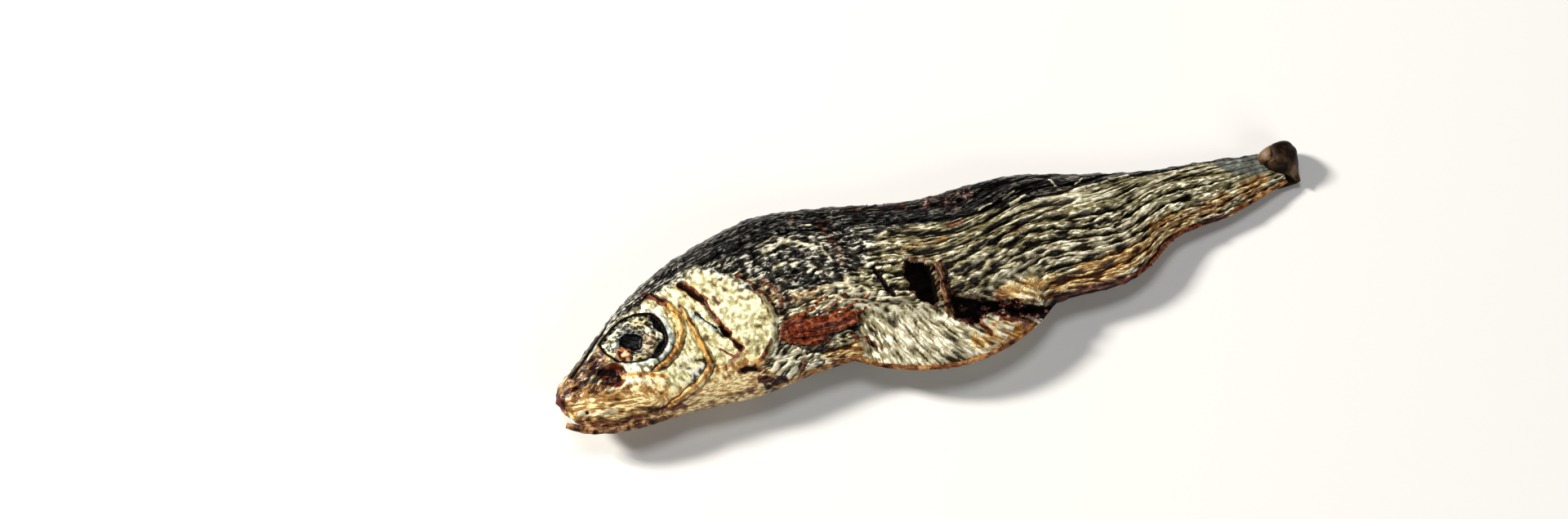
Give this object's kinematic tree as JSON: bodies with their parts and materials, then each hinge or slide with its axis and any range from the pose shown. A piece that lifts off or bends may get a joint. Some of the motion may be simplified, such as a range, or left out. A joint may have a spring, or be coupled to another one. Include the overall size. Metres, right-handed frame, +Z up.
{
  "type": "dried sprat",
  "caption": "Small whole dried fish lying flat on its side, with wrinkled skin, sunken eye, gill cover ridges, torn belly flap and a rolled-up tail fin.",
  "frame": {"origin": "centre of the bounding box in plan, at the level the fish lies on", "axes": "+X from snout to tail, +Y from belly to back, +Z up through the left flank, which is the shown side"},
  "size_m": [0.0845, 0.0236, 0.0082],
  "materials": {
    "dried_skin": "wrinkled, semi-gloss, with a silvery sheen"
  },
  "bodies": {
    "root": {"dried_sprat": "dried_skin"}
  },
  "joints": []
}
